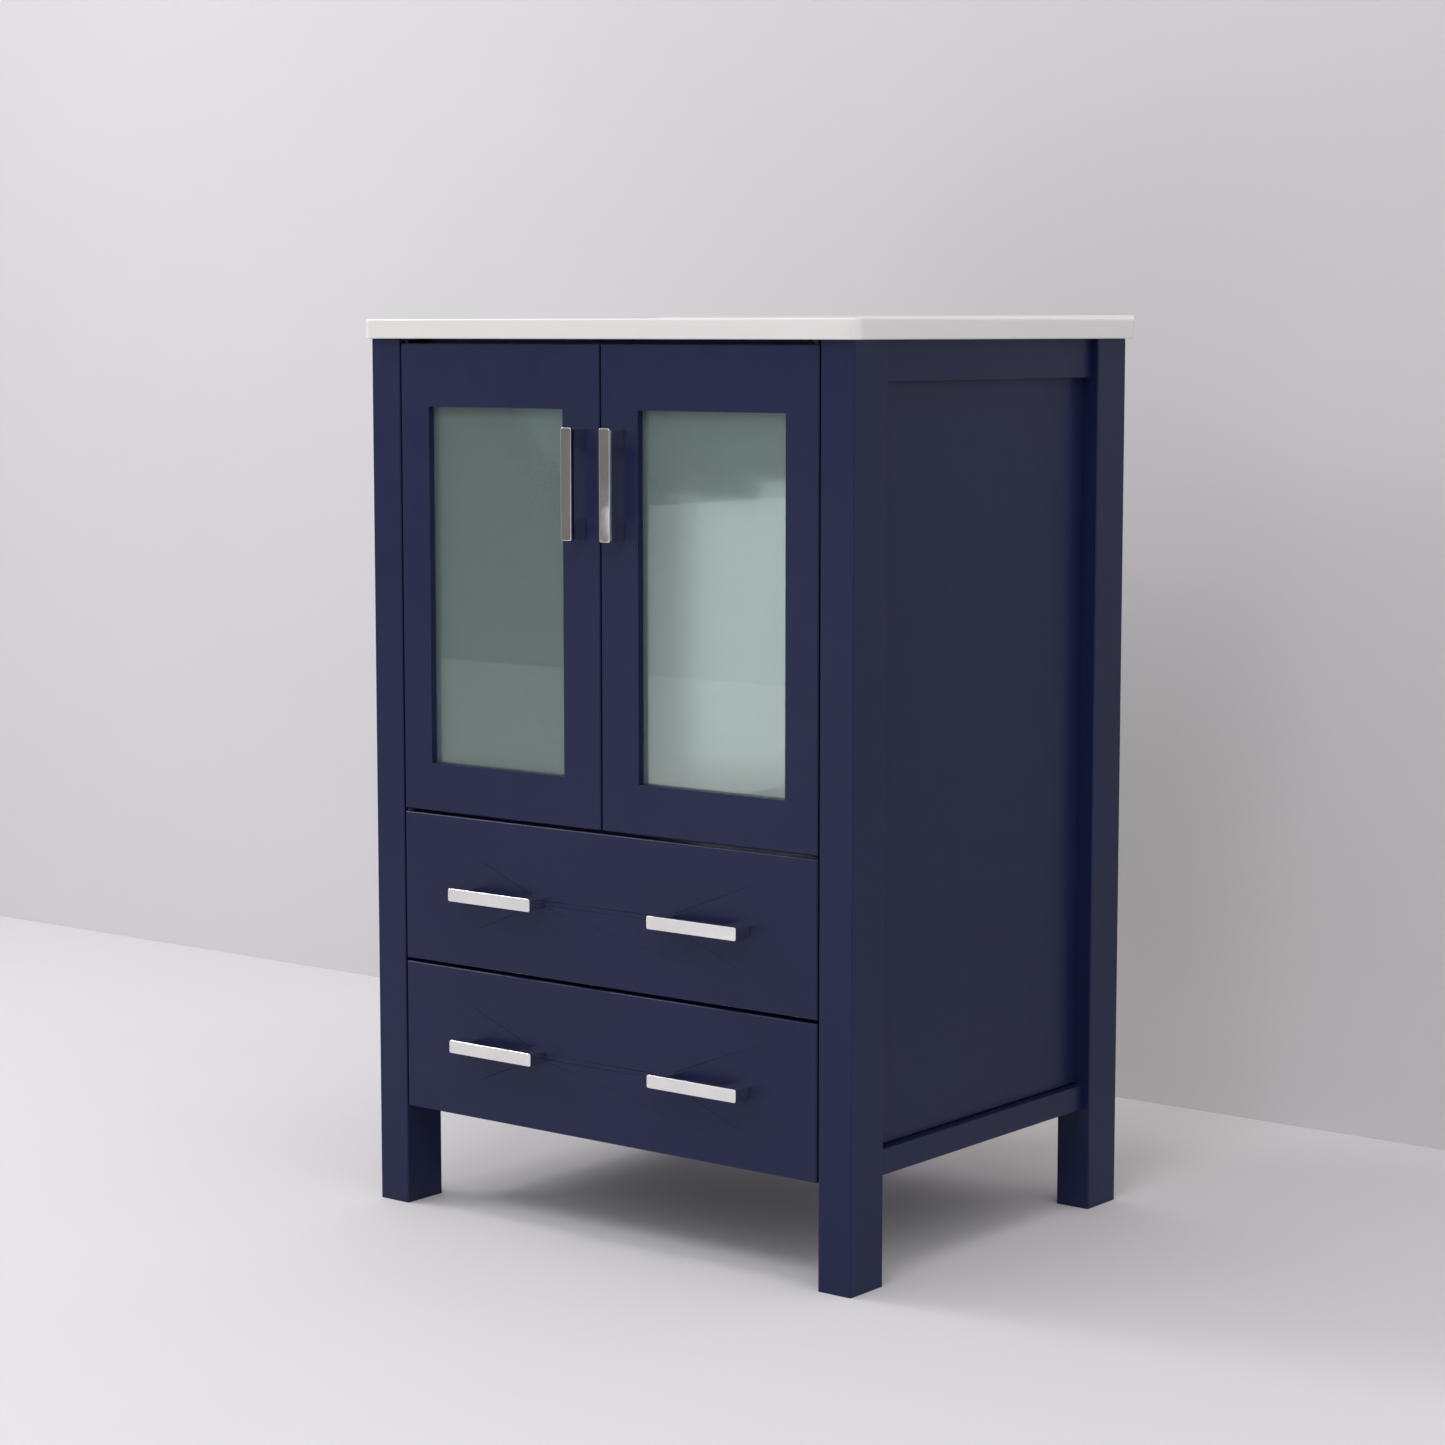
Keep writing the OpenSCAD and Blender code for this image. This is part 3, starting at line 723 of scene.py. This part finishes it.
def make_screws(node, body, handles, material):
    """All the screws of one node, as one piece."""
    low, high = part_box(node)
    spots = screw_spots(handles)
    piece = joined(node + "_driven", [screw_form(spot, low.y, high.y) for spot in spots])
    cut(piece, joined("recesses", [recess_form(spot, high.y) for spot in spots]))
    stand_in(piece, node, body, material)
    soften(piece, METAL_EDGE)


# ---- Room ----

WALL_Y = 0.640
WALL_END = 2.5
WALL_TOP = 4.0
ROOM_HALF = 6.0
ROOM_FRONT = -4.5


def make_room():
    """The floor and the wall behind the object, each one face."""
    left, right, back = -ROOM_HALF, ROOM_HALF, ROOM_HALF
    floor = [(left, ROOM_FRONT, 0), (right, ROOM_FRONT, 0), (right, back, 0), (left, back, 0)]
    low = [(left, WALL_Y, 0), (WALL_END, WALL_Y, 0)]
    high = [(WALL_END, WALL_Y, WALL_TOP), (left, WALL_Y, WALL_TOP)]
    room = {"floor": (floor, plain_floor()), "backdrop": (low + high, plain_wall())}
    for name, (corners, material) in room.items():
        mesh = bpy.data.meshes.new(name)
        mesh.from_pydata(corners, [], [(0, 1, 2, 3)])
        mesh.materials.append(material)
        add_object(name, mesh)


# Soft lamps by name: azimuth left of the front, elevation, distance, side in metres and watts
LAMPS = {
    "window": (74, 44, 3.2, 0.50, 18.0),
    "low_window": (60, 27, 2.4, 0.40, 7.0),
    "ceiling": (-20.0, 50, 3.9, 1.20, 26.0),
}
LAMP_AIM = Vector((0.0, 0.0, 0.45))
# Two upright cards side by side, low on the front left, which the smooth glass mirrors. They share an X, a
# lower edge and a height; each has its nearest Y, its length away from that and its watts a square metre.
CARD_X, CARD_LOW, CARD_H = -1.0, 0.20, 0.44
CARDS = {"bright_card": (-1.61, 1.0, 4.1), "dim_card": (-1.475, 0.135, 3.3)}
# The room's own light: round the horizon from the left (0) to the right (1), and from overhead
HORIZON = [
    (0.11, (0.80, 0.79, 0.81)),
    (0.14, (0.20, 0.19, 0.19)),
    (0.40, (0.26, 0.25, 0.25)),
    (0.80, (0.62, 0.61, 0.63)),
]
OVERHEAD = (1.05, 1.04, 1.06)
# The height, as a part of straight up, at which the overhead light has taken over from the horizon's
HORIZON_TOP = 0.45


def aim_lamp(name, place, towards, width, height, watts):
    data = bpy.data.lights.new(name, "AREA")
    data.shape = "RECTANGLE"
    data.size, data.size_y = width, height
    data.energy = watts
    lamp = add_object(name, data)
    lamp.location = place
    lamp.rotation_euler = towards.to_track_quat("-Z", "Y").to_euler()
    lamp.visible_camera = False


def make_lamp(name, azimuth, elevation, distance, side, watts):
    a, e = math.radians(azimuth), math.radians(elevation)
    back = Vector((-math.sin(a) * math.cos(e), -math.cos(a) * math.cos(e), math.sin(e)))
    aim_lamp(name, LAMP_AIM + distance * back, -back, side, side, watts)


def make_cards():
    for name, (near_y, length, power) in CARDS.items():
        middle = Vector((CARD_X, near_y - length / 2, CARD_LOW + CARD_H / 2))
        aim_lamp(name, middle, Vector((1, 0, 0)), length, CARD_H, power * length * CARD_H)


def make_world():
    world = bpy.data.worlds.new("studio")
    world.use_nodes = True
    tree = world.node_tree
    way = tree.nodes.new("ShaderNodeTexCoord").outputs["Generated"]
    split = tree.nodes.new("ShaderNodeSeparateXYZ")
    across, up = tree.nodes.new("ShaderNodeMapRange"), tree.nodes.new("ShaderNodeMapRange")
    across.inputs["From Min"].default_value = -1.0
    up.inputs["From Max"].default_value = HORIZON_TOP
    ramp = tree.nodes.new("ShaderNodeValToRGB")
    while len(ramp.color_ramp.elements) < len(HORIZON):
        ramp.color_ramp.elements.new(0.5)
    for point, (position, colour) in zip(ramp.color_ramp.elements, HORIZON):
        point.position = position
        point.color = (*colour, 1.0)
    mix = tree.nodes.new("ShaderNodeMixRGB")
    mix.inputs["Color2"].default_value = (*OVERHEAD, 1.0)
    for source, target in [
        (way, split.inputs["Vector"]),
        (split.outputs["X"], across.inputs["Value"]),
        (split.outputs["Z"], up.inputs["Value"]),
        (across.outputs["Result"], ramp.inputs["Fac"]),
        (ramp.outputs["Color"], mix.inputs["Color1"]),
        (up.outputs["Result"], mix.inputs["Fac"]),
        (mix.outputs["Color"], tree.nodes["Background"].inputs["Color"]),
    ]:
        tree.links.new(source, target)
    bpy.context.scene.world = world


def make_lights():
    for name, facts in LAMPS.items():
        make_lamp(name, *facts)
    make_cards()
    make_world()
    bpy.context.scene.view_settings.view_transform = "Standard"


# ---- The object ----

NAVY = ["leg_front_left", "leg_front_right", "leg_rear_left", "leg_rear_right",
        "side_panel_left", "side_panel_right", "side_top_rail_left", "side_top_rail_right",
        "side_bottom_rail_left", "side_bottom_rail_right", "front_top_rail", "front_middle_rail",
        "front_bottom_rail", "back_top_rail", "back_middle_rail", "bottom_panel",
        "left_door_frame", "right_door_frame", "left_door_beads", "right_door_beads",
        "top_drawer_front", "bottom_drawer_front"]
ZINC = ["left_door_strike", "right_door_strike", "top_slide_outers", "bottom_slide_outers",
        "top_slide_middles", "bottom_slide_middles", "top_slide_inners", "bottom_slide_inners"]
PIVOTS = ["pivot_plates", "left_door_pivot_leaves", "right_door_pivot_leaves"]
HANDLES = {"left_door_handle": "left_door", "right_door_handle": "right_door",
           "top_drawer_handle_left": "top_drawer", "top_drawer_handle_right": "top_drawer",
           "bottom_drawer_handle_left": "bottom_drawer", "bottom_drawer_handle_right": "bottom_drawer"}
SCREWS = {"left_door_handle_screws": "left_door", "right_door_handle_screws": "right_door",
          "top_drawer_screws": "top_drawer", "bottom_drawer_screws": "bottom_drawer"}
# Plywood nodes by the way their grain runs and the axis of their thickness
BIRCH = {("x", "y"): ["back_panel", "top_drawer_box_front", "top_drawer_back",
                      "bottom_drawer_box_front", "bottom_drawer_back"],
         ("x", "z"): ["compartment_floor", "corner_blocks",
                      "top_drawer_bottom", "bottom_drawer_bottom"],
         ("y", "x"): ["top_drawer_side_left", "top_drawer_side_right",
                      "bottom_drawer_side_left", "bottom_drawer_side_right"]}


def make_object():
    paint, plate, zinc = navy_paint(), chrome(), zinc_steel()
    for name in NAVY:
        finish_node(name, paint, PAINT_EDGE)
    for name in ZINC:
        finish_node(name, zinc, METAL_EDGE)
    dark = dark_steel()
    for name in PIVOTS:
        finish_node(name, dark, METAL_EDGE)
    screw = screw_steel()
    for name, body in SCREWS.items():
        make_screws(name, body, [h for h, rides in HANDLES.items() if rides == body], screw)
    for (grain, thick), names in BIRCH.items():
        wood = birch(grain, thick)
        for name in names:
            finish_node(name, wood, BOARD_EDGE)
    finish_node("magnetic_catches", catch_plastic(), MOULD_EDGE)
    pane = frosted_glass()
    for name in ("left_door_glass", "right_door_glass"):
        finish_node(name, pane, GLASS_EDGE)
    for name, body in HANDLES.items():
        make_handle(name, body, plate)
    make_sink_top(ceramic())


make_camera()
make_room()
make_lights()
make_object()
